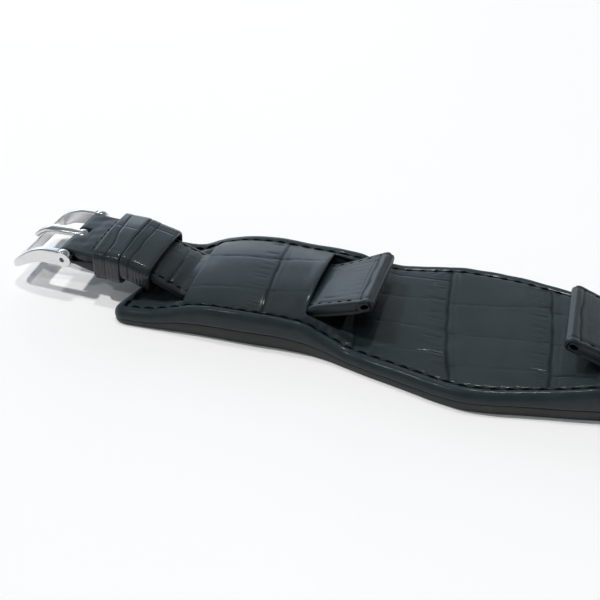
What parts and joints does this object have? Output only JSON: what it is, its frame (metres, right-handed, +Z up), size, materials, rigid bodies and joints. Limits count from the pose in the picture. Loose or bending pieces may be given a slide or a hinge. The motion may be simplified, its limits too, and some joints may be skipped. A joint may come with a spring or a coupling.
{
  "type": "leather watch strap",
  "caption": "Leather cuff watch strap: a waisted padded pad with two slots, two strap halves threaded through it, two keepers and a pin buckle.",
  "frame": {"origin": "middle of the pad's flat underside, on the table", "axes": "+X along the strap from the buckle towards the tail, +Y across it, +Z up from the wrist side to the watch side"},
  "size_m": [0.2356, 0.0414, 0.0133],
  "materials": {
    "scaled_leather": "glazed alligator pattern",
    "smooth_leather": "smooth, satin",
    "lining_leather": "matt lining",
    "filler": "raw filler board",
    "buckle_steel": "satin with polished edges",
    "bar_steel": "plain",
    "thread": "waxed thread"
  },
  "bodies": {
    "cuff": {"pad_lining": "lining_leather", "pad_core": "filler", "pad_facing": "smooth_leather", "top_panel": "scaled_leather"},
    "buckle_half": {"short_strap_upper": "scaled_leather", "short_strap_filler": "filler", "short_strap_lining": "lining_leather", "fixed_keeper": "scaled_leather", "fixed_keeper_lining": "lining_leather", "spring_bar_barrel": "bar_steel", "spring_bar_spring": "bar_steel"},
    "tail_half": {"long_strap_upper": "scaled_leather", "long_strap_filler": "filler", "long_strap_lining": "lining_leather"},
    "free_keeper_loop": {"free_keeper": "scaled_leather", "free_keeper_lining": "lining_leather"},
    "buckle": {"buckle_frame": "buckle_steel"},
    "tongue": {"buckle_tongue": "buckle_steel"},
    "near_plunger": {"plunger_near": "bar_steel"},
    "far_plunger": {"plunger_far": "bar_steel"}
  },
  "joints": [
    {"name": "buckle_half_slide", "type": "slide", "parent": "cuff", "child": "buckle_half", "axis": [1, 0, 0], "range_m": [-0.001, 0.0015]},
    {"name": "tail_half_slide", "type": "slide", "parent": "cuff", "child": "tail_half", "axis": [-1, 0, 0], "range_m": [-0.001, 0.0015]},
    {"name": "buckle_swing", "type": "hinge", "parent": "buckle_half", "child": "buckle", "pos_m": [-0.0922, 0, 0.0084], "axis": [0, 1, 0], "range_deg": [-60, 45]},
    {"name": "tongue_swing", "type": "hinge", "parent": "buckle", "child": "tongue", "pos_m": [-0.0922, 0, 0.0084], "axis": [0, 1, 0], "range_deg": [0, 75]},
    {"name": "free_keeper_slide", "type": "slide", "parent": "buckle_half", "child": "free_keeper_loop", "axis": [0.9616, 0, -0.2745], "range_m": [0, 0.002]},
    {"name": "near_plunger_slide", "type": "slide", "parent": "buckle_half", "child": "near_plunger", "axis": [0, 1, 0], "range_m": [0, 0.0011], "stiffness_N_per_m": 400, "springref_m": -0.001, "deforming": ["spring_bar_spring"]},
    {"name": "far_plunger_slide", "type": "slide", "parent": "buckle_half", "child": "far_plunger", "axis": [0, -1, 0], "range_m": [0, 0.0011], "stiffness_N_per_m": 400, "springref_m": -0.001, "deforming": ["spring_bar_spring"]}
  ]
}
